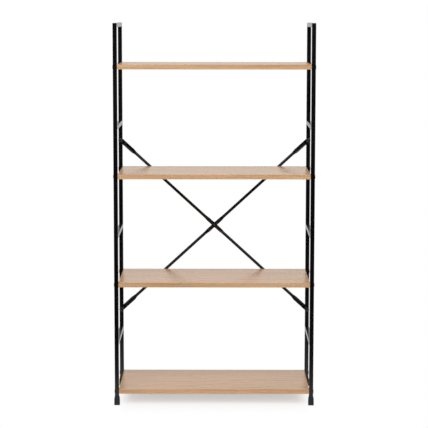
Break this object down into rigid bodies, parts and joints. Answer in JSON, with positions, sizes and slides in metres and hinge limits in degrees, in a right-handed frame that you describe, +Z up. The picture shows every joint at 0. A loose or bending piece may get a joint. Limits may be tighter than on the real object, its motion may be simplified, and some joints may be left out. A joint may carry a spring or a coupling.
{
  "type": "pipe shelving unit",
  "caption": "Open free-standing shelving unit: slim black square-tube ladder ends, oak-look boards between them and a crossed rod brace across the back.",
  "frame": {"origin": "on the floor, in the middle of the unit's overall box", "axes": "+X to the right seen from the front, +Y to the rear, +Z up the uprights; the open front faces -Y"},
  "size_m": [0.7756, 0.3648, 1.475],
  "materials": {
    "black_powder_coat": "satin black powder coat on steel tube",
    "black_plastic": "moulded black polyethylene boot",
    "oak_melamine_board": "particle board faced with light oak melamine, grain along the width",
    "oak_edge_band": "light oak printed edge band",
    "zinc_insert": "zinc-plated threaded insert",
    "black_zinc_steel": "black zinc-plated steel fastener"
  },
  "bodies": {
    "root": {"bottom_shelf_board": "oak_melamine_board", "bottom_shelf_front_band": "oak_edge_band", "bottom_shelf_inserts": "zinc_insert", "bottom_shelf_left_band": "oak_edge_band", "bottom_shelf_rear_band": "oak_edge_band", "bottom_shelf_right_band": "oak_edge_band", "brace_end_bolts": "black_zinc_steel", "brace_end_nuts": "black_zinc_steel", "brace_end_washers": "black_zinc_steel", "brace_rivet": "black_zinc_steel", "falling_brace_rod": "black_powder_coat", "left_front_foot": "black_plastic", "left_front_upright": "black_powder_coat", "left_lower_rung": "black_powder_coat", "left_middle_rung": "black_powder_coat", "left_rear_foot": "black_plastic", "left_rear_upright": "black_powder_coat", "left_shelf_bolts": "black_zinc_steel", "left_top_bar": "black_powder_coat", "left_upper_rung": "black_powder_coat", "lower_shelf_board": "oak_melamine_board", "lower_shelf_front_band": "oak_edge_band", "lower_shelf_inserts": "zinc_insert", "lower_shelf_left_band": "oak_edge_band", "lower_shelf_rear_band": "oak_edge_band", "lower_shelf_right_band": "oak_edge_band", "right_front_foot": "black_plastic", "right_front_upright": "black_powder_coat", "right_lower_rung": "black_powder_coat", "right_middle_rung": "black_powder_coat", "right_rear_foot": "black_plastic", "right_rear_upright": "black_powder_coat", "right_shelf_bolts": "black_zinc_steel", "right_top_bar": "black_powder_coat", "right_upper_rung": "black_powder_coat", "rising_brace_rod": "black_powder_coat", "top_shelf_board": "oak_melamine_board", "top_shelf_front_band": "oak_edge_band", "top_shelf_inserts": "zinc_insert", "top_shelf_left_band": "oak_edge_band", "top_shelf_rear_band": "oak_edge_band", "top_shelf_right_band": "oak_edge_band", "upper_shelf_board": "oak_melamine_board", "upper_shelf_front_band": "oak_edge_band", "upper_shelf_inserts": "zinc_insert", "upper_shelf_left_band": "oak_edge_band", "upper_shelf_rear_band": "oak_edge_band", "upper_shelf_right_band": "oak_edge_band"}
  },
  "joints": []
}
